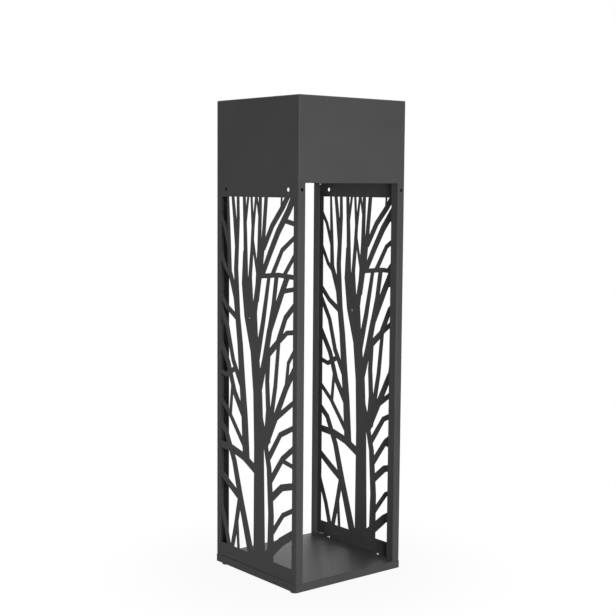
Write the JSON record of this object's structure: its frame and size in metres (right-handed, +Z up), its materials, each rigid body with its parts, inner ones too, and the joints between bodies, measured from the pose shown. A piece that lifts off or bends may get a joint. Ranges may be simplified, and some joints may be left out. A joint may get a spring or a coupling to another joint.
{
  "type": "firewood rack",
  "caption": "Tall slim firewood rack of folded sheet steel: pierced branching-tree side panels, open front and back, shallow base on glides, open planter box on top.",
  "frame": {"origin": "middle of the footprint, on the ground under the glides", "axes": "+Z up, the open front looks along -Y, the left side panel is on -X"},
  "size_m": [0.34, 0.335, 1.2],
  "materials": {
    "anthracite_coat": "matt fine-texture powder coat on folded sheet steel",
    "zinc_fasteners": "bright zinc-plated steel",
    "black_glide": "moulded black polyethylene"
  },
  "bodies": {
    "root": {"base_pan": "anthracite_coat", "side_panel_left": "anthracite_coat", "side_panel_right": "anthracite_coat", "planter_box": "anthracite_coat", "foot_front_left": "black_glide", "foot_front_right": "black_glide", "foot_rear_left": "black_glide", "foot_rear_right": "black_glide", "left_base_screws": "zinc_fasteners", "left_base_washers": "zinc_fasteners", "left_base_nuts": "zinc_fasteners", "right_base_screws": "zinc_fasteners", "right_base_washers": "zinc_fasteners", "right_base_nuts": "zinc_fasteners", "left_planter_screws": "zinc_fasteners", "left_planter_washers": "zinc_fasteners", "left_planter_nuts": "zinc_fasteners", "right_planter_screws": "zinc_fasteners", "right_planter_washers": "zinc_fasteners", "right_planter_nuts": "zinc_fasteners"}
  },
  "joints": []
}
